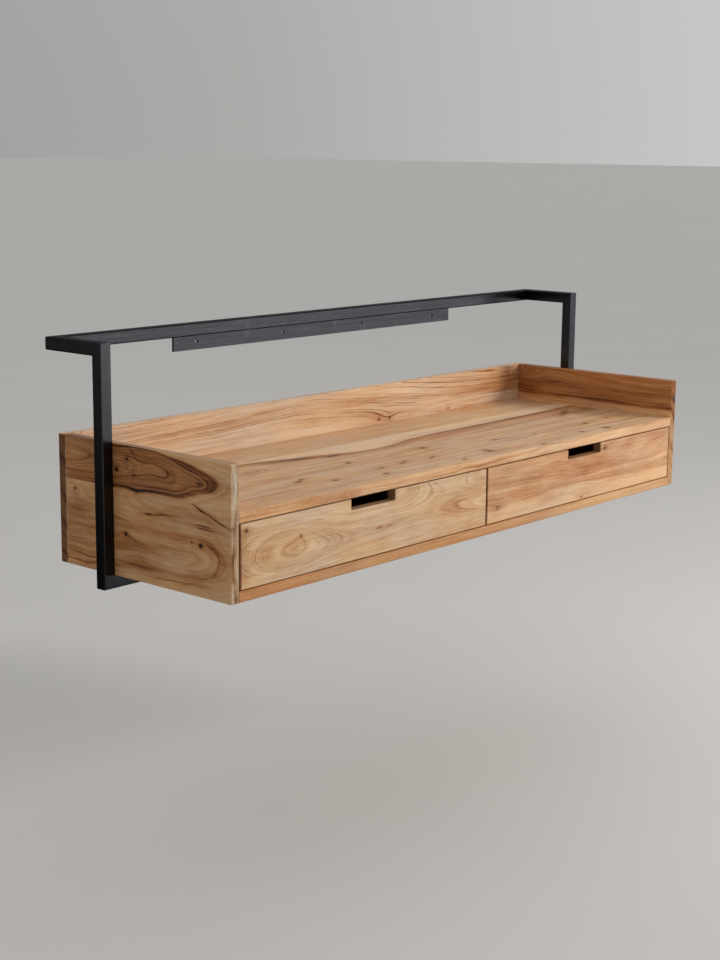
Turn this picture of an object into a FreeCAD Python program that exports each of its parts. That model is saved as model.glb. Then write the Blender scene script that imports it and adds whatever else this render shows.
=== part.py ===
import FreeCAD, Part
import os
import re
import Sketcher

# A desk that hangs on a wall: a wooden tray with two drawers, carried by a welded frame of square steel tube.
# The origin lies on the wall, in the middle of the row of screw holes. X runs to the right, -Y to the front.
doc = FreeCAD.newDocument("floating_wall_desk")
dims = doc.addObject("Spreadsheet::Sheet", "dims")

SIZES = {
    # Steel frame; heights count from the underside of the wooden box
    "overall_width": 1220,
    "tube_side": 20,
    "tube_wall": 1.5,
    "tube_radius": 2,
    "frame_height": 348,
    "leg_reach": 125,
    # Strip that is screwed to the wall
    "bracket_height": 25,
    "bracket_thickness": 4,
    "hole_pitch": 203.2,
    "hole_end": 50.8,
    "hole_radius": 3,
    "hole_drop": 12,
    # Wooden box
    "box_depth": 370,
    "box_height": 200,
    "board": 16,
    "surface_height": 130,
    "housing_depth": 5,
    "housing_stop": 12,
    "arris": 1,
    # Drawer faces and the gaps round them
    "face_thickness": 16,
    "side_gap": 3.5,
    "centre_gap": 4,
    "front_gap": 1.5,
    "notch_width": 102,
    "notch_depth": 17,
    "notch_radius": 3,
    # Dovetailed drawer boxes
    "drawer_rear_gap": 28,
    "drawer_board": 12,
    "drawer_lift": 5,
    "notch_clearance": 8.5,
    "tail_width": 14,
    "tail_slope": 2,
    "panel_thickness": 6,
    "panel_lift": 8,
    "groove_depth": 5,
    # Roller runners
    "runner_space": 12.5,
    "runner_setback": 2,
    "runner_end_gap": 8,
    "runner_flange": 9,
    "runner_foot": 10,
    "rail_lift": 6,
    "gauge": 1.2,
    "flange_gap": 1.8,
    "flange_clearance": 0.6,
    "channel_play": 0.6,
    "web_clearance": 1.34,
    "roller_radius": 9,
    "roller_inset": 14,
    "roller_play": 0.1,
    "relief_room": 2,
    "axle_radius": 2.5,
    "axle_play": 0.08,
    "axle_shoulder": 1.6,
    "axle_head_radius": 4,
    "axle_head": 0.8,
    # Wood screws
    "screw_radius": 2,
    "screw_head_radius": 4.2,
    "screw_head": 2.5,
    "screw_bite": 11,
    "screw_play": 0.1,
    "frame_screw_inset": 64,
}

for row, (name, size) in enumerate(SIZES.items(), 1):
    dims.set(f"A{row}", name)
    dims.set(f"B{row}", str(size))
    dims.setAlias(f"B{row}", name)
doc.recompute()

# Lengths that several pieces share
HOLE_ROW = "(frame_height - tube_side - hole_drop)"
LEG = "(frame_height + tube_side)"
BOX_WIDTH = "(overall_width - 2 * tube_side)"
INSIDE = "(overall_width - 2 * tube_side - 2 * board)"
INSIDE_DEPTH = "(box_depth - board)"
FACE_BACK = "(box_depth - face_thickness)"
FACE_WIDTH = f"({INSIDE} / 2 - side_gap - centre_gap / 2)"
FACE_MIDDLE = f"(({INSIDE} / 2 - side_gap + centre_gap / 2) / 2)"
FACE_HEIGHT = "(surface_height - 2 * board - 2 * front_gap)"
BAY = f"({INSIDE} / 2 - board / 2)"
BAY_MIDDLE = f"({INSIDE} / 4 + board / 4)"
DRAWER_HALF = f"({BAY} / 2 - runner_space)"
DRAWER_DEPTH = "(box_depth - face_thickness - board - drawer_rear_gap)"
DRAWER_HEIGHT = f"({FACE_HEIGHT} + front_gap - notch_depth - notch_clearance - drawer_lift)"
PANEL_HALF = f"({DRAWER_HALF} - drawer_board + groove_depth)"
RAIL_HEIGHT = "(2 * roller_radius + 2 * gauge + channel_play)"
RUNNER_TOP = f"({RAIL_HEIGHT} + flange_clearance)"
RUNNER_LENGTH = f"({DRAWER_DEPTH} - runner_setback - runner_end_gap)"
RUNNER_REAR = f"(box_depth - face_thickness - runner_setback - {RUNNER_LENGTH})"
RAIL_FLANGE = "(runner_space - gauge - flange_gap)"
ROLLER_START = "(gauge + axle_shoulder + axle_play)"
ROLLER_END = "(runner_space - gauge - web_clearance - axle_head - axle_play)"
TAILS = 3
PLANE_AXES = {"XY_Plane": "Z", "XZ_Plane": "Y", "YZ_Plane": "X"}


def bound(text):
    """A sheet expression, from one written with the bare names of the sizes."""
    return re.sub(r"[a-z_]+", r"dims.\g<0>", text)


def measure(text):
    """The present value of such an expression, in millimetres."""
    return float(dims.evalExpression(bound(text)))


def piece(label, x, y, above):
    """A body whose corner stands at x, y and a height above the underside of the wooden box."""
    body = doc.addObject("PartDesign::Body", label)
    body.setExpression("Placement.Base.x", bound(x))
    body.setExpression("Placement.Base.y", bound(y))
    body.setExpression("Placement.Base.z", bound(f"{above} - {HOLE_ROW}"))
    return body


def origin_feature(body, role):
    """One of the body's own planes or axes."""
    return next(feature for feature in body.Origin.OriginFeatures if feature.Role == role)


def sketch(body, plane, offset="0"):
    """An empty sketch on one of the body's own planes, moved along the plane's normal."""
    drawn = body.newObject("Sketcher::SketchObject", f"{body.Label}_sketch")
    drawn.AttachmentSupport = [(origin_feature(body, plane), "")]
    drawn.MapMode = "FlatFace"
    drawn.setExpression("AttachmentOffset.Base.z", bound(offset))
    return drawn


def hold(drawn, curve, point, x, y):
    """Keeps a point of a sketch at the place that two expressions give."""
    for kind, text in (("DistanceX", x), ("DistanceY", y)):
        index = drawn.addConstraint(Sketcher.Constraint(kind, -1, 1, curve, point, measure(text)))
        drawn.setExpression(f"Constraints[{index}]", bound(text))


def polygon(drawn, points):
    """A closed outline through points given as pairs of expressions."""
    corners = [FreeCAD.Vector(measure(x), measure(y), 0) for x, y in points]
    first = drawn.GeometryCount
    count = len(points)
    for start, end in zip(corners, corners[1:] + corners[:1]):
        drawn.addGeometry(Part.LineSegment(start, end), False)
    for index, (x, y) in enumerate(points):
        following = first + (index + 1) % count
        drawn.addConstraint(Sketcher.Constraint("Coincident", first + index, 2, following, 1))
        hold(drawn, first + index, 1, x, y)


def rectangle(drawn, x0, y0, x1, y1):
    """An upright rectangle between two opposite corners."""
    polygon(drawn, [(x0, y0), (x1, y0), (x1, y1), (x0, y1)])


def circle(drawn, x, y, radius):
    """A round outline about a centre."""
    centre = FreeCAD.Vector(measure(x), measure(y), 0)
    curve = drawn.addGeometry(Part.Circle(centre, FreeCAD.Vector(0, 0, 1), measure(radius)), False)
    hold(drawn, curve, 3, x, y)
    index = drawn.addConstraint(Sketcher.Constraint("Radius", curve, measure(radius)))
    drawn.setExpression(f"Constraints[{index}]", bound(radius))


def pad(body, drawn, length, backwards=False):
    """Adds the sketch's outline, drawn out along its normal."""
    feature = body.newObject("PartDesign::Pad", f"{body.Label}_pad")
    feature.Profile = drawn
    feature.setExpression("Length", bound(length))
    feature.Reversed = backwards


def cut(body, drawn, depth, backwards=False):
    """Takes the sketch's outline away, against its normal or, backwards, along it."""
    feature = body.newObject("PartDesign::Pocket", f"{body.Label}_cut")
    feature.Profile = drawn
    feature.setExpression("Length", bound(depth))
    feature.Reversed = backwards


def cut_through(body, drawn):
    """Takes the sketch's outline away right through the piece, to both sides."""
    feature = body.newObject("PartDesign::Pocket", f"{body.Label}_through")
    feature.Profile = drawn
    feature.Type = "ThroughAll"
    feature.SideType = "Symmetric"


def turned(body, drawn, axis):
    """Turns the sketch's outline once round one of the sketch's axes."""
    feature = body.newObject("PartDesign::Revolution", f"{body.Label}_turned")
    feature.Profile = drawn
    feature.ReferenceAxis = (drawn, [axis])
    feature.Angle = 360


def rounded(body, radius, wanted):
    """Rounds those edges of the body that pass a test."""
    doc.recompute()
    base = body.Tip
    edges = [f"Edge{number}" for number, edge in enumerate(base.Shape.Edges, 1) if wanted(edge)]
    feature = body.newObject("PartDesign::Fillet", f"{body.Label}_rounded")
    feature.Base = (base, edges)
    feature.setExpression("Radius", bound(radius))


def eased(body, wanted):
    """Takes the sharpness off those edges of a board that pass a test."""
    doc.recompute()
    base = body.Tip
    edges = [f"Edge{number}" for number, edge in enumerate(base.Shape.Edges, 1) if wanted(edge)]
    feature = body.newObject("PartDesign::Chamfer", f"{body.Label}_eased")
    feature.Base = (base, edges)
    feature.setExpression("Size", bound("arris"))


def any_edge(edge):
    """Every edge of a plain board."""
    return True


def along(axis, **at):
    """A test for straight edges along X, Y or Z that lie at the given coordinates."""
    def wanted(edge):
        start, end = (vertex.Point for vertex in edge.Vertexes)
        run = [abs(end.x - start.x), abs(end.y - start.y), abs(end.z - start.z)]
        straight = run["XYZ".index(axis)] > 0.99 * sum(run)
        return straight and all(abs(getattr(start, name) - measure(text)) < 0.01 for name, text in at.items())
    return wanted


def on_front(depth):
    """A test for the edges that lie in the plane of a front."""
    def wanted(edge):
        return all(abs(vertex.Point.y + measure(depth)) < 0.01 for vertex in edge.Vertexes)
    return wanted


# Frame of square tube: a rail on the wall, an arm at each end, a leg down each side of the box and a rail
# under it. Every corner is a mitre, cut in the plane that its two tubes share.
def tube(label, place, section, length, mitres):
    """A hollow tube drawn out of one plane, with a wedge cut off for each mitre."""
    body = piece(label, *place)
    outside = sketch(body, section)
    rectangle(outside, "0", "0", "tube_side", "tube_side")
    pad(body, outside, length)
    rounded(body, "tube_radius", along(PLANE_AXES[section]))
    bore = sketch(body, section)
    rectangle(bore, "tube_wall", "tube_wall", "tube_side - tube_wall", "tube_side - tube_wall")
    cut_through(body, bore)
    for plane, wedge in mitres:
        corner = sketch(body, plane)
        polygon(corner, wedge)
        cut_through(body, corner)
    return body


tube(
    "top_rail",
    ("-overall_width / 2", "-tube_side", "frame_height - tube_side"),
    "YZ_Plane",
    "overall_width",
    [
        ("XY_Plane", [("0", "0"), ("tube_side", "0"), ("0", "tube_side")]),
        (
            "XY_Plane",
            [("overall_width", "0"), ("overall_width", "tube_side"), ("overall_width - tube_side", "0")],
        ),
    ],
)

SIDES = {
    "left": ("-overall_width / 2", "0", "tube_side"),
    "right": ("overall_width / 2 - tube_side", "tube_side", "0"),
}
for side, (x, outer, inner) in SIDES.items():
    tube(
        f"{side}_arm",
        (x, "0", "frame_height - tube_side"),
        "XZ_Plane",
        "leg_reach",
        [
            ("XY_Plane", [(outer, "0"), (inner, "0"), (inner, "-tube_side")]),
            (
                "YZ_Plane",
                [("-leg_reach", "0"), ("tube_side - leg_reach", "0"), ("-leg_reach", "tube_side")],
            ),
        ],
    )
    tube(
        f"{side}_leg",
        (x, "-leg_reach", "-tube_side"),
        "XY_Plane",
        LEG,
        [
            ("YZ_Plane", [("0", LEG), ("tube_side", LEG), ("tube_side", f"{LEG} - tube_side")]),
            ("XZ_Plane", [(outer, "0"), (inner, "0"), (inner, "tube_side")]),
        ],
    )

bottom_rail = tube(
    "bottom_rail",
    ("-overall_width / 2", "-leg_reach", "-tube_side"),
    "YZ_Plane",
    "overall_width",
    [
        ("XZ_Plane", [("0", "0"), ("tube_side", "tube_side"), ("0", "tube_side")]),
        (
            "XZ_Plane",
            [
                ("overall_width", "0"),
                ("overall_width", "tube_side"),
                ("overall_width - tube_side", "tube_side"),
            ],
        ),
    ],
)

# Wood screws that hold the box down on the bottom rail, in a row along the middle of the tube
SCREW_SPAN = f"({INSIDE} - 2 * frame_screw_inset)"
FRAME_SCREWS = [f"{step} * {SCREW_SPAN} / 3" for step in (-1.5, -0.5, 0.5, 1.5)]
screw_holes = sketch(bottom_rail, "XY_Plane")
for x in FRAME_SCREWS:
    circle(screw_holes, f"overall_width / 2 + {x}", "tube_side / 2", "screw_radius + screw_play")
cut_through(bottom_rail, screw_holes)
frame_screws = piece("frame_screws", FRAME_SCREWS[0], "tube_side / 2 - leg_reach", "-tube_side")
half_screw = sketch(frame_screws, "XZ_Plane")
polygon(
    half_screw,
    [
        ("0", "-screw_head"),
        ("screw_head_radius", "-screw_head"),
        ("screw_head_radius", "0"),
        ("screw_radius", "0"),
        ("screw_radius", "tube_side + screw_bite"),
        ("0", "tube_side + screw_bite"),
    ],
)
turned(frame_screws, half_screw, "V_Axis")
screw_row = frame_screws.newObject("PartDesign::LinearPattern", "frame_screws_row")
screw_row.Originals = [frame_screws.Tip]
screw_row.Direction = (origin_feature(frame_screws, "X_Axis"), [""])
screw_row.Occurrences = len(FRAME_SCREWS)
screw_row.setExpression("Length", bound(SCREW_SPAN))
frame_screws.AllowCompound = True
frame_screws.Tip = screw_row

# Flat strip welded under the top rail, with the four holes for the wall screws
wall_bracket = piece("wall_bracket", "0", "0", HOLE_ROW)
strip = sketch(wall_bracket, "XZ_Plane")
strip_end = "1.5 * hole_pitch + hole_end"
rectangle(strip, f"-({strip_end})", "hole_drop - bracket_height", strip_end, "hole_drop")
for step in (-1.5, -0.5, 0.5, 1.5):
    circle(strip, f"{step} * hole_pitch", "0", "hole_radius")
pad(wall_bracket, strip, "bracket_thickness")

# Side panels, with stopped housings on their inner faces for the desk top and a rebate for the bottom
PANELS = {
    "left": (f"-{BOX_WIDTH} / 2", "board", False),
    "right": (f"{BOX_WIDTH} / 2 - board", "0", True),
}
for side, (x, inner_face, backwards) in PANELS.items():
    panel = piece(f"{side}_side_panel", x, "-box_depth", "0")
    outline = sketch(panel, "YZ_Plane")
    rectangle(outline, "0", "0", INSIDE_DEPTH, "box_height")
    pad(panel, outline, "board")
    eased(panel, any_edge)
    for low, high in (("surface_height - board", "surface_height"), ("0", "board")):
        housing = sketch(panel, "YZ_Plane", inner_face)
        rectangle(housing, "housing_stop", low, INSIDE_DEPTH, high)
        cut(panel, housing, "housing_depth", backwards)

# Back panel across the full width, behind the side panels
back_panel = piece("back_panel", "0", "0", "0")
outline = sketch(back_panel, "XZ_Plane")
rectangle(outline, f"-{BOX_WIDTH} / 2", "0", f"{BOX_WIDTH} / 2", "box_height")
pad(back_panel, outline, "board")
eased(back_panel, any_edge)


# Desk top and bottom, whose ends enter the housings behind a square shoulder at the front; each has a groove
# for the centre divider
def shelf(label, above, groove_plane, backwards):
    """A board between the side panels, grooved on one of its faces."""
    body = piece(label, "0", "-box_depth", above)
    outline = sketch(body, "XY_Plane")
    half = f"{INSIDE} / 2"
    tongue = f"{INSIDE} / 2 + housing_depth"
    right = [(half, "0"), (half, "housing_stop"), (tongue, "housing_stop"), (tongue, INSIDE_DEPTH)]
    left = [(f"-({x})", y) for x, y in reversed(right)]
    polygon(outline, right + left)
    pad(body, outline, "board")
    eased(body, along("X", y="0"))
    groove = sketch(body, "XY_Plane", groove_plane)
    rectangle(groove, "-board / 2", "face_thickness", "board / 2", INSIDE_DEPTH)
    cut(body, groove, "housing_depth", backwards)
    return body


shelf("desk_top", "surface_height - board", "0", True)
bottom_panel = shelf("bottom_panel", "0", "board", False)
pilots = sketch(bottom_panel, "XY_Plane")
for x in FRAME_SCREWS:
    circle(pilots, x, "box_depth - leg_reach + tube_side / 2", "screw_radius + screw_play")
cut(bottom_panel, pilots, "screw_bite + screw_play", True)

# Divider between the two drawers, set back behind their faces
centre_divider = piece("centre_divider", "0", f"-{FACE_BACK}", "board - housing_depth")
outline = sketch(centre_divider, "XY_Plane")
rectangle(outline, "-board / 2", "0", "board / 2", f"{FACE_BACK} - board")
pad(centre_divider, outline, "surface_height - 2 * board + 2 * housing_depth")


# Drawer boxes: sides with through dovetails, a front and a back with matching sockets, and a thin bottom in a
# groove all round. The face covers the box front and the runners, with a finger notch in its upper edge.
def tails(drawn, tip, root):
    """The outlines of the dovetails on one end of a drawer side, wide at the tip."""
    for number in range(TAILS):
        middle = f"{number + 0.5} * {DRAWER_HEIGHT} / {TAILS}"
        polygon(
            drawn,
            [
                (tip, f"{middle} - tail_width / 2"),
                (tip, f"{middle} + tail_width / 2"),
                (root, f"{middle} + tail_width / 2 - tail_slope"),
                (root, f"{middle} - tail_width / 2 + tail_slope"),
            ],
        )


def drawer_face(drawer, sign):
    """The visible front, notched for the fingers."""
    body = piece(f"{drawer}_face", f"{sign} * {FACE_MIDDLE}", f"-{FACE_BACK}", "board + front_gap")
    outline = sketch(body, "XZ_Plane")
    floor = f"{FACE_HEIGHT} - notch_depth"
    right = [
        (f"{FACE_WIDTH} / 2", "0"),
        (f"{FACE_WIDTH} / 2", FACE_HEIGHT),
        ("notch_width / 2", FACE_HEIGHT),
        ("notch_width / 2", floor),
    ]
    left = [(f"-{x}", z) for x, z in reversed(right)]
    polygon(outline, right + left)
    pad(body, outline, "face_thickness")
    rounded(body, "notch_radius", along("Y", z=floor))
    eased(body, on_front("face_thickness"))


def drawer_end(drawer, end, sign, y, tip, root, groove_plane, backwards):
    """The front or back of a drawer box, socketed at both ends and grooved on its inner face."""
    body = piece(f"{drawer}_{end}", f"{sign} * {BAY_MIDDLE}", y, "board + drawer_lift")
    outline = sketch(body, "XZ_Plane")
    rectangle(outline, f"-{DRAWER_HALF}", "0", DRAWER_HALF, DRAWER_HEIGHT)
    pad(body, outline, "drawer_board", True)
    for plane, inward in ((f"-{DRAWER_HALF}", True), (DRAWER_HALF, False)):
        sockets = sketch(body, "YZ_Plane", plane)
        tails(sockets, tip, root)
        cut(body, sockets, "drawer_board", inward)
    groove = sketch(body, "XZ_Plane", groove_plane)
    rectangle(groove, f"-{PANEL_HALF}", "panel_lift", PANEL_HALF, "panel_lift + panel_thickness")
    cut(body, groove, "groove_depth", backwards)


def drawer_side(drawer, side, sign, x, inner_face, backwards):
    """A side of a drawer box, with tails at both ends and a groove for the bottom."""
    place = (f"{sign} * {BAY_MIDDLE} + {x}", f"-{FACE_BACK}", "board + drawer_lift")
    body = piece(f"{drawer}_{side}_side", *place)
    rear = f"{DRAWER_DEPTH} - drawer_board"
    plank = sketch(body, "YZ_Plane")
    rectangle(plank, "drawer_board", "0", rear, DRAWER_HEIGHT)
    pad(body, plank, "drawer_board")
    ends = sketch(body, "YZ_Plane")
    tails(ends, "0", "drawer_board")
    tails(ends, DRAWER_DEPTH, rear)
    pad(body, ends, "drawer_board")
    groove = sketch(body, "YZ_Plane", inner_face)
    low, high = "panel_lift", "panel_lift + panel_thickness"
    rectangle(groove, "drawer_board - groove_depth", low, f"{rear} + groove_depth", high)
    cut(body, groove, "groove_depth", backwards)


def drawer_bottom(drawer, sign):
    """The thin panel that slides into the grooves."""
    place = (f"{sign} * {BAY_MIDDLE}", f"-{FACE_BACK}", "board + drawer_lift + panel_lift")
    body = piece(f"{drawer}_bottom", *place)
    outline = sketch(body, "XY_Plane")
    near, far = "drawer_board - groove_depth", f"{DRAWER_DEPTH} - drawer_board + groove_depth"
    rectangle(outline, f"-{PANEL_HALF}", near, PANEL_HALF, far)
    pad(body, outline, "panel_thickness")


# Runners: a channel on the wall of each bay with a roller at its front, and a flanged angle under each drawer
# side with a roller at its rear. The angle's flange rides on the front roller and the rear roller runs in the
# channel. Across the gap, distances count from the wall towards the drawer.
def mirrored(points, hand):
    """Points of a runner's section for a bay wall on the left, or turned round for one on the right."""
    return [(f"{hand} * ({x})", z) for x, z in points]


def rail(label, wall, hand):
    """The channel on the bay's wall, with its upper flange cut back over the front roller."""
    body = piece(label, wall, f"-{RUNNER_REAR}", "board + rail_lift")
    section = sketch(body, "XZ_Plane")
    lower = [("0", "0"), (RAIL_FLANGE, "0"), (RAIL_FLANGE, "gauge"), ("gauge", "gauge")]
    upper = [(x, f"{RAIL_HEIGHT} - ({z})") for x, z in reversed(lower)]
    polygon(section, mirrored(lower + upper, hand))
    pad(body, section, RUNNER_LENGTH)
    relief = sketch(body, "YZ_Plane")
    back = f"roller_inset + roller_radius + relief_room - {RUNNER_LENGTH}"
    rectangle(relief, f"-{RUNNER_LENGTH}", f"{RAIL_HEIGHT} - gauge", back, RAIL_HEIGHT)
    cut_through(body, relief)


def runner(label, wall, hand):
    """The angle under the drawer side, with the flange that rides on the front roller."""
    body = piece(label, wall, f"-{RUNNER_REAR}", "board + rail_lift")
    section = sketch(body, "XZ_Plane")
    web, foot = "runner_space - gauge", "runner_space + runner_foot"
    base = "drawer_lift - rail_lift"
    outline = [
        ("runner_space - runner_flange", RUNNER_TOP),
        (web, RUNNER_TOP),
        (web, f"{base} - gauge"),
        (foot, f"{base} - gauge"),
        (foot, base),
        ("runner_space", base),
        ("runner_space", f"{RUNNER_TOP} + gauge"),
        ("runner_space - runner_flange", f"{RUNNER_TOP} + gauge"),
    ]
    polygon(section, mirrored(outline, hand))
    pad(body, section, RUNNER_LENGTH)


def both_sides(body, points):
    """Turns half an outline into a round part beside the bay's left wall, and mirrors it to the right one."""
    half = sketch(body, "XZ_Plane")
    polygon(half, [(f"{x} - {BAY} / 2", r) for x, r in points])
    turned(body, half, "H_Axis")
    mirror = body.newObject("PartDesign::Mirrored", f"{body.Label}_mirrored")
    mirror.Originals = [body.Tip]
    mirror.MirrorPlane = (origin_feature(body, "YZ_Plane"), [""])
    body.AllowCompound = True
    body.Tip = mirror


def rollers(label, place):
    """A pair of wheels in line across the bay."""
    bore = "axle_radius + axle_play"
    outline = [
        (ROLLER_START, bore),
        (ROLLER_START, "roller_radius"),
        (ROLLER_END, "roller_radius"),
        (ROLLER_END, bore),
    ]
    both_sides(piece(label, *place), outline)


def axles(label, place, seat, shoulder, tip, head):
    """A pair of shouldered studs, welded to the sheet at their seats, with heads that keep the wheels on."""
    outline = [
        (seat, "0"),
        (seat, "axle_head_radius"),
        (shoulder, "axle_head_radius"),
        (shoulder, "axle_radius"),
        (tip, "axle_radius"),
        (tip, "axle_head_radius"),
        (head, "axle_head_radius"),
        (head, "0"),
    ]
    both_sides(piece(label, *place), outline)


def runners(drawer, bay, sign):
    """A channel and an angle on each side of a drawer, with rollers on both ends of their travel."""
    middle = f"{sign} * {BAY_MIDDLE}"
    for side, hand in (("left", 1), ("right", -1)):
        wall = f"{middle} - {hand} * {BAY} / 2"
        rail(f"{bay}_{side}_rail", wall, hand)
        runner(f"{drawer}_{side}_runner", wall, hand)
    channel = "board + rail_lift"
    front_y = f"roller_inset - {RUNNER_REAR} - {RUNNER_LENGTH}"
    front = (middle, front_y, f"{channel} + {RUNNER_TOP} - roller_play - roller_radius")
    rear = (middle, f"-{RUNNER_REAR} - roller_inset", f"{channel} + gauge + roller_play + roller_radius")
    near = f"{ROLLER_START} - axle_play"
    far = f"{ROLLER_END} + axle_play"
    rollers(f"{bay}_rollers", front)
    axles(f"{bay}_axles", front, "gauge", near, far, f"{far} + axle_head")
    rollers(f"{drawer}_rollers", rear)
    axles(f"{drawer}_axles", rear, "runner_space - gauge", far, near, f"{near} - axle_head")


for place, sign in (("left", -1), ("right", 1)):
    drawer = f"{place}_drawer"
    drawer_face(drawer, sign)
    drawer_end(drawer, "front", sign, f"-{FACE_BACK}", "0", "drawer_board", "-drawer_board", True)
    rear = f"{DRAWER_DEPTH} - drawer_board - {FACE_BACK}"
    drawer_end(drawer, "back", sign, rear, "drawer_board", "0", "0", False)
    drawer_side(drawer, "left", sign, f"-{DRAWER_HALF}", "drawer_board", False)
    drawer_side(drawer, "right", sign, f"{DRAWER_HALF} - drawer_board", "0", True)
    drawer_bottom(drawer, sign)
    runners(drawer, f"{place}_bay", sign)

doc.recompute()
pieces = [body for body in doc.Objects if body.TypeId == "PartDesign::Body"]
for thing in doc.Objects:
    assert not {"Invalid", "Error"} & set(thing.State), f"{thing.Label}: {thing.State}"
    if thing.TypeId == "PartDesign::Pocket":
        assert thing.Shape.Volume < thing.BaseFeature.Shape.Volume - 1, f"{thing.Label} cuts nothing"
for body in pieces:
    assert not body.Shape.isNull() and body.Shape.isValid(), f"{body.Label}: bad shape"

os.makedirs("parts", exist_ok=True)
for body in pieces:
    body.Shape.exportStep(f"parts/{body.Label}.step")
print(len(pieces), "pieces")
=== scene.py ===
import bmesh
import bpy
import math
from mathutils import Matrix, Vector


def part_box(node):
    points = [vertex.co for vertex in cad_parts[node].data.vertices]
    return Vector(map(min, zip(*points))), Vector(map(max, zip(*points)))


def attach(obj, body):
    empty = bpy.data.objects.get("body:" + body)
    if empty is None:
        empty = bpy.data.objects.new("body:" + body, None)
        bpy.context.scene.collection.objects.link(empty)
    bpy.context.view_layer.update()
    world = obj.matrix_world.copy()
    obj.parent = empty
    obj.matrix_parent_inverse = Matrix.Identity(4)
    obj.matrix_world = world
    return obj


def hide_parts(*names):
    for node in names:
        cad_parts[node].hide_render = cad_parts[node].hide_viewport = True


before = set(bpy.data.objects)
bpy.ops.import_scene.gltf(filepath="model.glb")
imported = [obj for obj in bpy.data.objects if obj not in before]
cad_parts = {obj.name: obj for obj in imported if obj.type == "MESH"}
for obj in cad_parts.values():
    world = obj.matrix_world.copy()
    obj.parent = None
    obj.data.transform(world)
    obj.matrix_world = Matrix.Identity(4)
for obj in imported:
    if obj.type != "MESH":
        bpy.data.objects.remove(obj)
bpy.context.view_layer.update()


# Steel frame: six lengths of square tube, mitred and welded into a hoop that stands off the wall and passes
# under the box. The welds are ground flush, and the whole is powder coated in satin black.
class Shade:
    """A value that changes over a surface. Sums written with it become nodes of its material."""

    def __init__(self, socket):
        self.socket = socket

    def node(self, kind, inputs, output=0, stops=(), **settings):
        """Adds a node: first its settings, then the values or links of its sockets."""
        tree = self.socket.id_data
        made = tree.nodes.new("ShaderNode" + kind)
        for name, value in settings.items():
            setattr(made, name, value)
        for index, (place, colour) in enumerate(stops):
            ramp = made.color_ramp.elements
            stop = ramp[index] if index < 2 else ramp.new(place)
            stop.position = place
            stop.color = (*colour, 1)
        for name, value in inputs.items():
            if isinstance(value, Shade):
                tree.links.new(value.socket, made.inputs[name])
            else:
                made.inputs[name].default_value = value
        return Shade(made.outputs[output]) if made.outputs else None

    def math(self, operation, *terms):
        return self.node("Math", dict(enumerate(terms)), operation=operation)

    def __add__(self, other):
        return self.math("ADD", self, other)

    def __sub__(self, other):
        return self.math("SUBTRACT", self, other)

    def __rsub__(self, other):
        return self.math("SUBTRACT", other, self)

    def __mul__(self, other):
        return self.math("MULTIPLY", self, other)

    def __truediv__(self, other):
        return self.math("DIVIDE", self, other)

    def __abs__(self):
        return self.math("ABSOLUTE", self)

    __radd__ = __add__
    __rmul__ = __mul__


def blank(name):
    """An empty material, and the place of a point on the piece that wears it."""
    material = bpy.data.materials.new(name)
    material.use_nodes = True
    material.node_tree.nodes.clear()
    return material, Shade(material.node_tree.nodes.new("ShaderNodeTexCoord").outputs["Object"])


def cloud(place, size, detail=2, rough=0.5):
    """Soft random variation about 0.5, with patches of the given size along each axis."""
    steps = place.node("VectorMath", {0: place, 1: size}, operation="DIVIDE")
    return place.node("TexNoise", {"Vector": steps, "Scale": 1, "Detail": detail, "Roughness": rough})


def smooth(value, low, high):
    """Runs from 0 to 1 as the value goes from low to high."""
    inputs = {"Value": value, "From Min": low, "From Max": high}
    return value.node("MapRange", inputs, interpolation_type="SMOOTHSTEP")


def blended(first, second, share, blend="MIX"):
    """Two colours in one another, by a share from 0 to 1."""
    inputs = {0: share, 6: first, 7: second}
    return share.node("Mix", inputs, 2, data_type="RGBA", blend_type=blend)


def set_surface(here, values):
    """Ends a material with a surface of the given values."""
    here.node("OutputMaterial", {"Surface": here.node("BsdfPrincipled", values)})


def dress(material, *nodes):
    """Gives a finish to pieces that keep their shape."""
    for node in nodes:
        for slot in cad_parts[node].material_slots:
            slot.material = material


def powder_coat(name, base, dusty, roughness, drawn, lustre):
    """Baked coat on steel: a fine orange peel, a little unevenness in its sheen, faint rubbed patches, and
    lines of the drawn steel showing through, as long and as fine as given."""
    material, here = blank(name)
    patches = cloud(here, (0.09, 0.09, 0.09), 4, 0.6)
    peel = cloud(here, (0.0016, 0.0016, 0.0016), 2)
    rubbed = smooth(cloud(here, (0.02, 0.03, 0.025), 3), 0.56, 0.72)
    lines = cloud(here, drawn, 3, 0.6) - 0.5
    dust = smooth(patches, 0.35, 0.75) * 0.6 + rubbed * 0.25
    set_surface(here, {
        "Base Color": blended((*base, 1), (*dusty, 1), dust),
        "Roughness": roughness + (patches - 0.5) * 0.12 - rubbed * 0.04 + lines * 0.18,
        "Normal": here.node("Bump", {"Strength": 0.12, "Distance": 0.0004, "Height": peel + lines * 5}),
        **lustre,
    })
    return material


satin_black, dusty_black = (0.036, 0.0354, 0.0382), (0.041, 0.0402, 0.0434)
dark_lustre = {"Metallic": 1, "Specular Tint": (0.25, 0.25, 0.27, 1)}
satin_roughness = 0.30
line_length, line_width = 0.16, 0.004
drawn_lines = {
    "rail": (line_length, line_width, line_width),
    "arm": (line_width, line_length, line_width),
    "leg": (line_width, line_width, line_length),
}
tube_black = {
    run: powder_coat(f"{run}_satin_black", satin_black, dusty_black, satin_roughness, drawn, dark_lustre)
    for run, drawn in drawn_lines.items()
}
dress(tube_black["rail"], "top_rail", "bottom_rail")
dress(tube_black["arm"], "left_arm", "right_arm")
dress(tube_black["leg"], "left_leg", "right_leg")

# Wall strip: a flat steel bar welded under the back of the top rail, drilled for four wall screws and
# coated in one go with the frame.
dress(tube_black["rail"], "wall_bracket")


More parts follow.
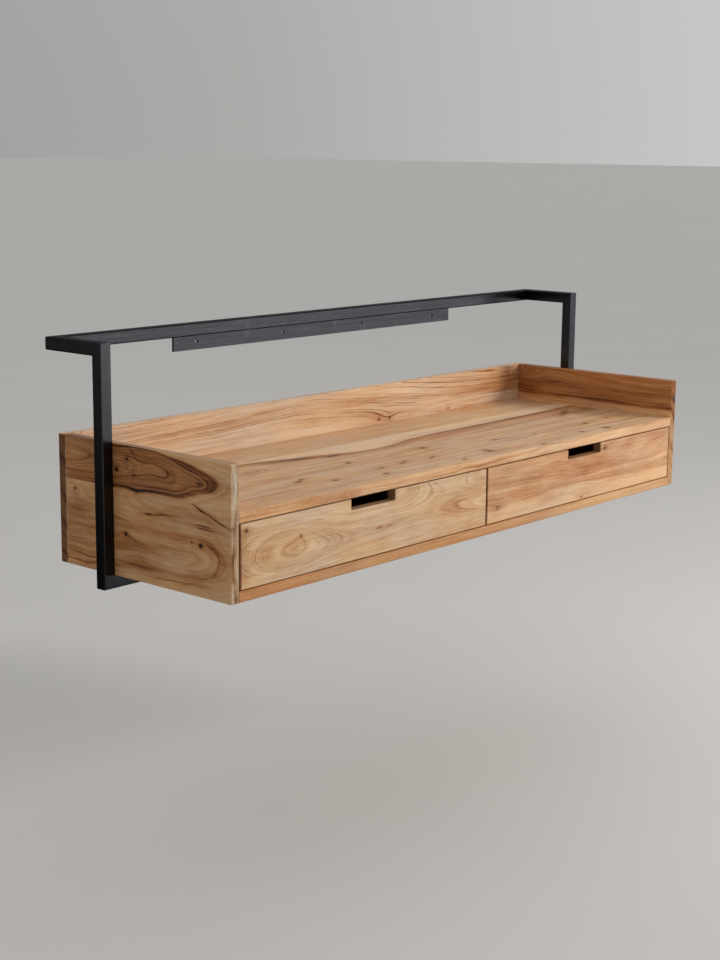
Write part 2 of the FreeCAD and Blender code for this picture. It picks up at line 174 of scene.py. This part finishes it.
# Screws that hold the box down on the bottom rail: four pan heads of blackened steel with a cross recess,
# driven up through the tube into the bottom panel.
def blackened(name):
    """Steel under a thin black oxide, slightly oily."""
    material, here = blank(name)
    haze = cloud(here, (0.003, 0.003, 0.003), 3)
    set_surface(here, {
        "Base Color": blended((0.045, 0.045, 0.048, 1), (0.09, 0.086, 0.082, 1), haze),
        "Metallic": 1,
        "Roughness": 0.38 + (haze - 0.5) * 0.25,
    })
    return material


low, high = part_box("frame_screws")
screw_count = 4
head_radius, head_height, head_round = (high.y - low.y) / 2, 0.0025, 0.0013
shank_radius, shank_length = 0.002, high.z - low.z - head_height
slot_width, slot_length, slot_depth, slot_taper = 0.0011, 0.0042, 0.0015, 0.8
hair = 1e-5
row = bmesh.new()
for number in range(screw_count):
    along_row = number / (screw_count - 1)
    head_x = (low.x + head_radius) * (1 - along_row) + (high.x - head_radius) * along_row
    middle = Vector((head_x, low.y + head_radius, low.z))
    head = bmesh.ops.create_cone(
        row, cap_ends=True, segments=32, radius1=head_radius, radius2=head_radius, depth=head_height,
        matrix=Matrix.Translation(middle + Vector((0, 0, head_height / 2))),
    )["verts"]
    rim = dict.fromkeys(
        edge for corner in head for edge in corner.link_edges
        if max(end.co.z for end in edge.verts) < low.z + hair
    )
    bmesh.ops.bevel(
        row, geom=list(rim), offset=head_round, segments=4, profile=0.5, affect="EDGES", material=-1,
        clamp_overlap=True,
    )
    cap = [
        face for face in row.faces
        if face.normal.z < -0.99 and abs(face.calc_center_median().z - low.z) < hair
        and (face.calc_center_median() - middle).length < head_radius
    ]
    for axis in (Vector((1, 0, 0)), Vector((0, 1, 0))):
        for reach in (-slot_length, -slot_width, slot_width, slot_length):
            edges = dict.fromkeys(edge for face in cap for edge in face.edges)
            corners = dict.fromkeys(corner for face in cap for corner in face.verts)
            cut = bmesh.ops.bisect_plane(
                row, geom=[*cap, *edges, *corners], plane_co=middle + axis * reach / 2, plane_no=axis
            )["geom"]
            cap = [part for part in cut if isinstance(part, bmesh.types.BMFace)]
    cross = []
    for face in cap:
        away = face.calc_center_median() - middle
        near, far = sorted((abs(away.x), abs(away.y)))
        if near < slot_width / 2 and far < slot_length / 2:
            cross.append(face)
    sunk = bmesh.ops.extrude_face_region(row, geom=cross)["geom"]
    slot_floor = [part for part in sunk if isinstance(part, bmesh.types.BMVert)]
    bmesh.ops.translate(row, vec=(0, 0, slot_depth), verts=slot_floor)
    bmesh.ops.scale(
        row, vec=(slot_taper, slot_taper, 1), space=Matrix.Translation(-middle), verts=slot_floor
    )
    bmesh.ops.create_cone(
        row, cap_ends=True, segments=16, radius1=shank_radius, radius2=shank_radius, depth=shank_length,
        matrix=Matrix.Translation(middle + Vector((0, 0, head_height + shank_length / 2))),
    )
bmesh.ops.recalc_face_normals(row, faces=row.faces)
screws = bpy.data.objects.new("pan_head_screws", bpy.data.meshes.new("pan_head_screws"))
row.to_mesh(screws.data)
row.free()
screws.data.shade_smooth()
screws.data.set_sharp_from_angle(angle=math.radians(35))
screws.data.materials.append(blackened("black_oxide"))
bpy.context.scene.collection.objects.link(screws)
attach(screws, "frame_and_box")
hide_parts("frame_screws")


# Left side panel: two oiled planks of solid acacia glued edge to edge, the upper one with a tongue of dark
# heartwood. The grain runs from the wall to the front, so the front edge shows the ends of the rings.
def dot(first, second):
    """How far the first vector reaches along the second, times the second's length."""
    return first.node("VectorMath", {0: first, 1: second}, 1, operation="DOT_PRODUCT")


def bulge(grain, at, reach, turn):
    """A round hill of height 1 on the face of a plank, with the given reach along and across the grain.
    It goes straight through the plank."""
    endless = 1e5
    local = grain.node("Mapping", {
        "Vector": grain,
        "Location": (*at, 0),
        "Rotation": (0, 0, math.radians(turn)),
        "Scale": (*reach, endless),
    }, vector_type="TEXTURE")
    return grain.math("EXPONENT", dot(local, local) * -1)


def depth_in_tree(grain, lean, swells):
    """How deep a point of a plank lay under the bark: a tilted plane, raised in swells. Heartwood is
    above 0."""
    depth = dot(grain, lean[:3]) + lean[3]
    for at_u, at_v, long, wide, turn, height in swells:
        depth = depth + bulge(grain, (at_u, at_v), (long, wide), turn) * height
    return depth


ACACIA = [
    (0.00, (0.705, 0.510, 0.325)),
    (0.20, (0.595, 0.385, 0.218)),
    (0.45, (0.435, 0.210, 0.084)),
    (0.70, (0.235, 0.088, 0.028)),
    (1.00, (0.030, 0.012, 0.005)),
]
KNOT_WIDTH = 3


def acacia(
    name, along, across, through, planks, joint=0, marks=(), tint=(1, 1, 1), end=(0.74, 0.73, 0.70),
    edge=(1, 1, 1), sway=12,
):
    """Oiled acacia. Places are in millimetres along, across and through the piece; tones run from 0, the
    pale sapwood, to 1, nearly black. A plank has a tone for its sap and its heart, and the rind of the heart
    and the outline round it are darker by theirs. Its grain wanders by curl, a year is a ring wide, and
    band, vein and mottle are the strengths of its figure. Each mark is a knot, fleck or split, or a broad
    patch of painted shade or painted light: place, reach, turn and darkness. The end grain and the long
    edges take the oil differently, and an end's tint can also hold painted shade."""
    material, here = blank(name)
    u, v, w = (dot(here, axis) + start for axis, start in (along, across, through))
    straight = here.node("CombineXYZ", {0: u, 1: v, 2: w})
    lower, upper = planks[0], planks[-1]
    glued = upper is not lower
    values = lower
    if glued:
        side = smooth(v, joint - 0.2, joint + 0.2)
        values = {
            key: tone + side * (upper[key] - tone)
            for key, tone in lower.items() if key not in ("lean", "swells")
        }

    # The grain wanders, and the planks bend and swell round it; a knot pushes the rings aside
    wander = (cloud(straight, (260, 90, 40), 2, 0.4) - 0.5) * sway
    wander = wander + (cloud(straight, (50, 13, 13), 2) - 0.5) * 3.5
    wander = wander + (cloud(straight, (75, 40, 30), 2) - 0.5) * values["curl"]
    grain = here.node("CombineXYZ", {0: u, 1: v + wander, 2: w})
    depth = depth_in_tree(grain, lower["lean"], lower["swells"])
    if glued:
        depth = depth + (depth_in_tree(grain, upper["lean"], upper["swells"]) - depth) * side
    for at_u, at_v, long, wide, turn, _ in marks:
        if wide >= KNOT_WIDTH:
            depth = depth + bulge(grain, (at_u, at_v), (4 * long, 3 * wide), turn) * 3
    normal = Shade(here.socket.node.outputs["Normal"])
    end_grain, long_edge = (smooth(abs(dot(normal, axis)), 600, 900) for axis in (along[0], across[0]))

    # Rings follow the depth: broad bands, a vein of uneven strength at the end of each year, and fine lines
    layers = here.node("CombineXYZ", {0: depth, 1: u, 2: v})
    bands = smooth(cloud(layers, (7, 700, 260), 1), 0.3, 0.7) - 0.5
    turns = depth / values["ring"] + cloud(layers, (24, 500, 160), 1) * 3
    year = here.math("FLOOR", turns)
    season = turns - year
    strength = here.node("TexWhiteNoise", {"W": year}, noise_dimensions="1D")
    veins = smooth(season, 0.4, 0.93) * smooth(season, 1.0, 0.94) * strength * strength
    lines = smooth(cloud(layers, (0.9, 200, 60), 3, 0.6), 0.3, 0.7) - 0.5
    patchy = smooth(cloud(straight, (130, 24, 30), 2), 0.3, 0.7) * 1.1 + 0.4

    # Fibres and pores run straight through all of it
    mottle = cloud(grain, (70, 28, 30), 3, 0.55) - 0.5
    strands = smooth(cloud(straight, (140, 4.5, 4.5), 3, 0.6), 0.3, 0.7) - 0.5
    streaks = smooth(cloud(straight, (42, 1.7, 1.7), 3, 0.6), 0.28, 0.72) - 0.5
    fibre = cloud(straight, (70, 0.8, 0.8), 2) - 0.5
    pores = smooth(cloud(straight, (7, 0.5, 0.5), 1), 0.58, 0.76)

    # Tone: sapwood or heartwood, then the figure, the marks (some of them painted shade or painted light)
    # and the line of glue between two planks
    inside = smooth(depth, -1, 1)
    outline = here.math("EXPONENT", depth * depth * -0.4)
    rind = here.math("EXPONENT", abs(depth) * -0.11) * inside
    tone = values["sap"] + (values["heart"] - values["sap"]) * inside + rind * values["rind"]
    figure = bands * values["band"] + veins * values["vein"] + outline * values["outline"]
    tone = tone + figure * patchy * (end_grain * 1.2 + 1) + mottle * values["mottle"]
    tone = tone + lines * 0.14 + strands * 0.1 + streaks * 0.12 + fibre * 0.12 + pores * 0.07
    ragged = (cloud(straight, (8, 3, 8), 2) - 0.5) * 0.9 + 1
    for at_u, at_v, long, wide, turn, dark in marks:
        spot = bulge(grain, (at_u, at_v), (long, wide), turn)
        tone = tone + smooth(spot * ragged, 0.3, 1.0) * dark + here.math("POWER", spot, 0.3) * 0.25 * dark
    if glued:
        tone = tone + smooth(abs(v - joint), 0.6, 0.1) * 0.12

    # Colour: the tone's own, in warmer and cooler stretches, and darker where the end grain drinks the oil;
    # on the back panel the end is darkened further by painted shade
    stops = [(at, tuple(c * t for c, t in zip(colour, tint))) for at, colour in ACACIA]
    colour = here.node("ValToRGB", {"Fac": tone}, stops=stops)
    warm = smooth(cloud(straight, (150, 45, 40), 2), 0.35, 0.65)
    hue = blended((0.98, 1.01, 1.07, 1), (1.04, 0.99, 0.88, 1), warm)
    colour = here.node("VectorMath", {0: colour, 1: hue}, operation="MULTIPLY")
    colour = blended(colour, (*end, 1), end_grain, "MULTIPLY")
    relief = fibre - pores - lines * 0.3
    set_surface(here, {
        "Base Color": blended(colour, (*edge, 1), long_edge, "MULTIPLY"),
        "Roughness": 0.47 + pores * 0.15 + fibre * 0.12 + end_grain * 0.15,
        "Specular IOR Level": 0.32,
        "Normal": here.node("Bump", {"Strength": 0.25, "Distance": 0.0003, "Height": relief}),
    })
    return material


left_lower = {
    "lean": (0, 0, 1, -11),
    "swells": [(20, -264, 230, 34, 0, 20), (285, -262, 75, 28, 0, 14), (230, -205, 120, 14, -8, 5)],
    "sap": 0.16, "heart": 0.20, "rind": 0.06, "outline": 0.13,
    "curl": 16, "ring": 3, "band": 0.14, "vein": 0.12, "mottle": 0.48,
}
left_upper = {
    "lean": (0, 0, -1, -15),
    "swells": [(-40, -141, 368, 36, -1, 40), (118, -118, 60, 16, -20, -7), (238, -150, 40, 16, -24, 4)],
    "sap": 0.05, "heart": 0.45, "rind": 0.06, "outline": 0.26,
    "curl": 9, "ring": 2.6, "band": 0.22, "vein": 0.44, "mottle": 0.20,
}
left_joint = -182
# The last mark, a broad dark patch low at the rear of the panel, is painted shade from the wall behind it.
left_marks = [
    (155, -137, 5, 4, 0, 0.45), (132, -156, 6, 4, 0, 0.48), (170, -159, 5, 2.5, 10, 0.36),
    (306, -152, 6, 3, -10, 0.4), (168, -127, 8, 1.6, -40, 0.35), (150, -250, 5, 4, 0, 0.62),
    (165, -254, 18, 1.4, -14, 0.25), (309, -238, 6, 4.5, 0, 0.62), (291, -236, 4, 3, 0, 0.36),
    (175, -185, 5, 3, 0, 0.4), (37, -198, 5, 4, 0, 0.5), (306, -188, 24, 1.5, -12, 0.55),
    (345, -199.5, 30, 1.6, -17, 0.6), (320, -197, 42, 6, -15, 0.14), (314, -210, 24, 1.2, 0, 0.55),
    (316, -213.5, 22, 1.2, -2, 0.5), (222, -209, 32, 1.4, 6, 0.45), (201, -211.5, 9, 2.4, 0, 0.38),
    (332, -241, 8, 1.3, -22, 0.26), (343, -250, 9, 1.3, -60, 0.32), (345, -263, 9, 1.3, 82, 0.34),
    (339, -276, 10, 1.3, 50, 0.3), (318, -287, 18, 1.4, 16, 0.22), (60, -293, 60, 1.6, -2, 0.22),
    (50, -304, 70, 1.8, 2, 0.25), (190, -297, 70, 1.6, -3, 0.16), (260, -304, 80, 1.8, 4, 0.2),
    (165, -262, 50, 9, 0, 0.12), (175, -268, 60, 40, 0, 0.10), (40, -258, 70, 60, 0, 0.17),
]
along_depth = ((0, -1000, 0), 0)
up_panel = ((0, 0, 1000), 0)
into_left_panel = ((1000, 0, 0), 590)
left_wood = acacia(
    "left_panel_acacia", along_depth, up_panel, into_left_panel, [left_lower, left_upper], left_joint,
    left_marks, tint=(0.955, 0.852, 0.72), end=(0.74, 0.95, 1.34), edge=(0.57, 0.54, 0.53), sway=14,
)
dress(left_wood, "left_side_panel")

# Right side panel: solid acacia like the left one, but almost all dark heartwood, with a strip of sapwood
# low on its inner face. It is housed out for the ends of the top and the bottom.
right_plank = {
    "lean": (0.0096, 0.34, 0.45, 54.7),
    "swells": [(40, -134, 36, 15, 0, 7), (300, -132, 200, 20, 0, 8)],
    "sap": 0.06, "heart": 0.46, "rind": 0.05, "outline": 0.12,
    "curl": 4, "ring": 2.2, "band": 0.20, "vein": 0.26, "mottle": 0.18,
}
# The last mark, a broad dark patch at the rear of the panel, is painted shade in the corner by the wall.
right_marks = [(250, -250, 7, 5, 0, 0.6), (130, -220, 6, 4, 0, 0.55), (20, -150, 70, 70, 0, 0.12)]
into_right_panel = ((1000, 0, 0), -574)
right_wood = acacia(
    "right_panel_acacia", along_depth, up_panel, into_right_panel, [right_plank], marks=right_marks,
    tint=(1.12, 0.97, 0.80), end=(0.54, 0.49, 0.47), edge=(0.62, 0.56, 0.48),
)
dress(right_wood, "right_side_panel")

# Back panel: one wide board of the same wood, fixed across the rear ends of the side panels over the whole
# width of the box. Its grain sweeps up from the left in a low arch.
back_plank = {
    "lean": (0.004, 0.42, 0.4, 66),
    "swells": [
        (-40, -150, 300, 900, 0, -14), (-430, -200, 160, 60, 0, -6), (-605, -150, 40, 36, 0, 14),
        (-605, -250, 40, 40, 0, 14),
    ],
    "sap": 0.12, "heart": 0.22, "rind": 0, "outline": 0.05,
    "curl": 4, "ring": 1.7, "band": 0.24, "vein": 0.42, "mottle": 0.20,
}
# The broad dark patch at the right end is a painted shadow of the right side panel. The two broad marks of
# negative darkness across the middle and right are painted light that lifts that shade.
back_marks = [
    (140, -178, 6, 4, 0, 0.36), (170, -178, 5, 4, 0, 0.36), (345, -180, 6, 4, 0, 0.32),
    (470, -119, 60, 1.8, -4, 0.4), (560, -140, 130, 34, 0, 0.2), (250, -150, 250, 60, 0, -0.08),
    (-60, -150, 190, 60, 0, -0.05),
]
across_width = ((1000, 0, 0), 0)
off_wall = ((0, -1000, 0), 0)
# Its end grain is darker than the oil alone makes it: partly its own tone, partly painted shade by the wall.
back_wood = acacia(
    "back_panel_acacia", across_width, up_panel, off_wall, [back_plank], marks=back_marks,
    tint=(0.98, 1.0, 1.10), end=(0.28, 0.17, 0.095), sway=9,
)
dress(back_wood, "back_panel")

# Desk top: two planks glued edge to edge, a plain one along the wall and a livelier one in front, whose
# pale sapwood edge ends in a dark line. Its ends are housed in the side panels.
front_plank = {
    "lean": (0, -0.45, 0.3, -71),
    "swells": [
        (-75, -168, 85, 30, 0, -17), (-420, -150, 130, 60, 0, 30), (565, -197, 75, 20, 0, -16),
        (-340, -172, 40, 17, 0, 14),
    ],
    "sap": 0.02, "heart": 0.22, "rind": 0.40, "outline": 0.24,
    "curl": 4, "ring": 4, "band": 0.14, "vein": 0.26, "mottle": 0.26,
}
rear_plank = {
    "lean": (0, 0.3, 0.5, 30),
    "swells": [],
    "sap": 0.20, "heart": 0.20, "rind": 0, "outline": 0,
    "curl": 4, "ring": 3, "band": 0.10, "vein": 0.10, "mottle": 0.22,
}
top_joint = -113
# The last mark, a broad dark patch in the rear right corner, is painted shade cast by the right side panel.
top_marks = [
    (-360, -282, 15, 5, 15, 0.5), (-342, -270, 12, 4, 20, 0.35), (-190, -235, 9, 6, 30, 0.45),
    (-3, -235, 12, 9, 0, 0.45), (55, -328, 15, 15, 0, 0.42), (-310, -312, 9, 6, 0, 0.4),
    (-215, -333, 8, 6, 20, 0.5), (395, -345, 11, 9, 0, 0.5), (405, -290, 18, 5, 8, 0.45),
    (150, -275, 8, 5, 0, 0.35), (490, -282, 7, 4, 0, 0.45), (-185, -300, 11, 5, 0, 0.4),
    (-60, -300, 15, 4, 20, 0.45), (-125, -295, 20, 4, 22, 0.35), (-35, -350, 9, 5, 20, 0.45),
    (325, -338, 11, 7, 0, 0.35), (175, -358, 9, 6, 0, 0.4), (250, -288, 11, 4, 0, 0.3),
    (-235, -150, 90, 7, -22, 0.26), (-165, -176, 24, 7, -10, 0.34), (480, -192, 60, 9, 27, 0.22),
    (-430, -371, 170, 2.9, 0, 0.16), (300, -371, 230, 2.9, 0, -0.09), (570, -80, 60, 70, 0, 0.1),
]
toward_wall = ((0, 1000, 0), 0)
into_top = ((0, 0, -1000), -186)
top_wood = acacia(
    "desk_top_acacia", across_width, toward_wall, into_top, [front_plank, rear_plank], top_joint, top_marks,
    tint=(0.99, 0.96, 0.97), edge=(1.03, 1.0, 0.96),
)
dress(top_wood, "desk_top")

# Bottom: a panel of solid acacia, plainer than the top. It stands on the bottom rail, and its ends lie in
# rebates of the side panels.
bottom_plank = {
    "lean": (0, 0.22, 0.7, 45),
    "swells": [(150, -200, 260, 70, 0, 9), (-300, -120, 220, 60, 0, -7)],
    "sap": 0.33, "heart": 0.37, "rind": 0, "outline": 0.04,
    "curl": 4, "ring": 3, "band": 0.12, "vein": 0.18, "mottle": 0.18,
}
bottom_marks = [(-120, -180, 8, 6, 0, 0.6), (330, -240, 9, 6, 0, 0.55), (400, -371, 280, 2.9, 0, -0.18)]
into_bottom = ((0, 0, 1000), 316)
bottom_wood = acacia(
    "bottom_acacia", across_width, toward_wall, into_bottom, [bottom_plank], marks=bottom_marks,
    tint=(0.90, 0.74, 0.56), edge=(0.95, 0.98, 1.06),
)
dress(bottom_wood, "bottom_panel")

# Divider between the drawers: a short upright board of the same wood, let into the top and the bottom,
# out of sight behind the drawer faces.
into_divider = ((1000, 0, 0), 8)
divider_wood = acacia(
    "divider_acacia", along_depth, up_panel, into_divider, [bottom_plank], tint=(0.95, 0.9, 0.84)
)
dress(divider_wood, "centre_divider")

# Drawer faces: flat-sawn boards with a finger notch in the upper edge, fixed to the fronts of the drawer
# boxes. The left one has nested ovals and a flame at its right end, the right one long waves that run out
# into pale sapwood.
left_face_plank = {
    "lean": (0, 0, 0.8, -9),
    "swells": [
        (-462, -258, 78, 37, 0, 13), (-330, -258, 235, 34, 0, 13), (-105, -188, 95, 44, 0, 16),
        (90, -256, 210, 30, 0, 20),
    ],
    "sap": 0.19, "heart": 0.20, "rind": 0.03, "outline": 0.05,
    "curl": 5, "ring": 1.3, "band": 0.16, "vein": 0.21, "mottle": 0.40,
}
left_face_marks = [
    (-560, -215, 5, 4, 0, 0.42), (-448, -241, 5, 3, 0, 0.36), (-520, -255, 22, 16, 0, 0.12),
    (-572, -255, 30, 60, 0, 0.16), (-272, -257, 12, 2.4, -4, 0.3), (-250, -258, 10, 2, 0, 0.25),
]
right_face_plank = {
    "lean": (-0.008, 0.30, 0.8, 80.5),
    "swells": [(430, -240, 150, 24, 0, 8), (110, -240, 150, 26, 0, 4), (270, -270, 60, 14, 0, -5)],
    "sap": 0.05, "heart": 0.26, "rind": 0.04, "outline": 0.05,
    "curl": 10, "ring": 2.4, "band": 0.16, "vein": 0.14, "mottle": 0.44,
}
right_face_marks = [
    (352, -210, 9, 6, 20, 0.36), (30, -275, 8, 4, 10, 0.3), (280, -295, 6, 4, 0, 0.32),
    (290, -247, 16, 14, 0, 0.12), (490, -235, 110, 26, 0, -0.07), (560, -262, 40, 26, 0, -0.1),
]
into_face = ((0, 1000, 0), 370)
face_end, face_edge = (0.55, 0.47, 0.40), (0.66, 0.60, 0.54)
left_face_wood = acacia(
    "left_face_acacia", across_width, up_panel, into_face, [left_face_plank], marks=left_face_marks,
    tint=(0.93, 0.945, 0.99), end=face_end, edge=face_edge,
)
right_face_wood = acacia(
    "right_face_acacia", across_width, up_panel, into_face, [right_face_plank], marks=right_face_marks,
    tint=(0.90, 0.80, 0.73), end=face_end, edge=face_edge, sway=22,
)
dress(left_face_wood, "left_drawer_face")
dress(right_face_wood, "right_drawer_face")

# Drawer boxes: thinner boards of the same wood, plain and pale, with through dovetails at the corners.
# Fronts and backs have their grain across the desk, sides from the wall to the front.
box_plank = {
    "lean": (0.002, 0.35, 0.6, 80),
    "swells": [(-300, -260, 200, 30, 0, 5), (280, -255, 220, 34, 0, -5)],
    "sap": 0.16, "heart": 0.23, "rind": 0, "outline": 0.04,
    "curl": 4, "ring": 3, "band": 0.12, "vein": 0.12, "mottle": 0.12,
}
drawer_end_wood = acacia("drawer_end_acacia", across_width, up_panel, toward_wall, [box_plank])
drawer_side_wood = acacia("drawer_side_acacia", along_depth, up_panel, across_width, [box_plank])
for drawer in ("left_drawer", "right_drawer"):
    dress(drawer_end_wood, f"{drawer}_front", f"{drawer}_back")
    dress(drawer_side_wood, f"{drawer}_left_side", f"{drawer}_right_side")

# Drawer bottoms: thin panels of pale veneered board, held without glue in grooves all round the inside of
# the drawer boxes.
panel_plank = {
    "lean": (0, 0.16, 1, 30),
    "swells": [(-290, -190, 240, 50, 0, 6), (290, -180, 240, 50, 0, 6)],
    "sap": 0.06, "heart": 0.12, "rind": 0, "outline": 0.02,
    "curl": 4, "ring": 3, "band": 0.10, "vein": 0.08, "mottle": 0.10,
}
into_base = ((0, 0, 1000), 287)
drawer_base_wood = acacia(
    "drawer_base_acacia", across_width, toward_wall, into_base, [panel_plank], tint=(1.05, 1.05, 1.05)
)
dress(drawer_base_wood, "left_drawer_bottom", "right_drawer_bottom")

# Runners: folded steel channels on the walls of the bays and angles under the drawer sides, coated in a
# pale epoxy.
epoxy, dusty_epoxy, epoxy_roughness = (0.62, 0.60, 0.55), (0.70, 0.69, 0.65), 0.38
epoxy_lines, epoxy_lustre = (0.003, 0.12, 0.003), {"Specular IOR Level": 0.5}
pale_epoxy = powder_coat("pale_epoxy", epoxy, dusty_epoxy, epoxy_roughness, epoxy_lines, epoxy_lustre)
for place in ("left", "right"):
    for side in ("left", "right"):
        dress(pale_epoxy, f"{place}_bay_{side}_rail", f"{place}_drawer_{side}_runner")


# Wheels of the runners: turned nylon, off-white and slightly waxy, on riveted studs of zinc-plated steel.
# The bay's wheels sit at the front of its rails, the drawer's at the rear of its runners.
def nylon(name):
    """Off-white plastic, a little dulled in patches by wear."""
    material, here = blank(name)
    wear = cloud(here, (0.003, 0.003, 0.003), 3)
    set_surface(here, {
        "Base Color": blended((0.70, 0.68, 0.61, 1), (0.58, 0.56, 0.50, 1), smooth(wear, 0.4, 0.7)),
        "Roughness": 0.36 + (wear - 0.5) * 0.3,
    })
    return material


def zinc(name):
    """Bright plating with a faint blue cast, clouded by handling."""
    material, here = blank(name)
    haze = cloud(here, (0.004, 0.004, 0.004), 3)
    set_surface(here, {
        "Base Color": blended((0.52, 0.54, 0.56, 1), (0.66, 0.66, 0.65, 1), haze),
        "Metallic": 1,
        "Roughness": 0.28 + (haze - 0.5) * 0.2,
    })
    return material


wheel_nylon = nylon("wheel_nylon")
stud_zinc = zinc("stud_zinc")
for place in ("left", "right"):
    for part in ("bay", "drawer"):
        dress(wheel_nylon, f"{place}_{part}_rollers")
        dress(stud_zinc, f"{place}_{part}_axles")

# Studio: a plain pale floor at the height of the room's, a wide soft light from the right and in front, a
# pale surround that is dimmer on the left, and a camera where the picture was taken.
floor_width, floor_level = 160, -0.784
bpy.ops.mesh.primitive_plane_add(size=floor_width, location=(0, 0, floor_level))
floor = bpy.context.object
floor.name = "floor"
floor_paint, here = blank("floor_paint")
shade = blended((0.55, 0.536, 0.515, 1), (0.59, 0.576, 0.555, 1), cloud(here, (0.8, 0.8, 0.8), 3))
set_surface(here, {"Base Color": shade, "Roughness": 0.8})
floor.data.materials.append(floor_paint)
floor.visible_glossy = False

# The surround brightens toward the light. The steel mirrors a bright band of it just under the horizon,
# where the floor covers it from the camera.
world = bpy.data.worlds.new("surround")
bpy.context.scene.world = world
world.use_nodes = True
world.node_tree.nodes.clear()
sky = Shade(world.node_tree.nodes.new("ShaderNodeTexCoord").outputs["Generated"])
toward_light = dot(sky, (0.354, -0.354, 0)) + 0.5
sides = sky.node("ValToRGB", {"Fac": toward_light}, stops=[
    (0.0, (0.12, 0.12, 0.122)), (0.5, (0.40, 0.395, 0.385)), (1.0, (0.98, 0.98, 1.0)),
])
height = sky.node("SeparateXYZ", {0: sky}, 2)
glow = blended(sides, (0.70, 0.70, 0.70, 1), smooth(height, 0.0, 0.8))
band, dark = 7.6, 0.02
strength = smooth(height, -0.18, -0.07) * (band - smooth(height, -0.06, -0.02) * (band - 1)) + dark
glow = sky.node("VectorMath", {0: glow, "Scale": strength}, operation="SCALE")
sky.node("OutputWorld", {"Surface": sky.node("Background", {"Color": glow, "Strength": 1})})

key = bpy.data.objects.new("key_light", bpy.data.lights.new("key_light", "AREA"))
key.data.shape = "DISK"
key.data.size = 0.86
key.data.energy = 75
key.data.color = (1.0, 0.975, 0.94)
key.location = (2.25, -2.60, 1.05)
key.rotation_euler = Vector((-0.644, 0.685, -0.342)).to_track_quat("-Z", "Y").to_euler()
key.visible_camera = False
key.visible_glossy = False
bpy.context.scene.collection.objects.link(key)

camera = bpy.data.objects.new("camera", bpy.data.cameras.new("camera"))
camera.data.sensor_width = 36
camera.data.lens = 63.28
camera_place = (-2.1899, -1.99462, 0.31943)
turn, dip, roll = (math.radians(angle) for angle in (49.03, 11.32, 0.55))
ahead = Vector((math.sin(turn) * math.cos(dip), math.cos(turn) * math.cos(dip), -math.sin(dip)))
level = Vector((math.cos(turn), -math.sin(turn), 0))
upright = level.cross(ahead)
right = level * math.cos(roll) + upright * math.sin(roll)
aim = Matrix((right, right.cross(ahead), -ahead)).transposed()
camera.matrix_world = Matrix.Translation(camera_place) @ aim.to_4x4()
bpy.context.scene.collection.objects.link(camera)
bpy.context.scene.camera = camera
bpy.context.scene.view_settings.view_transform = "Standard"
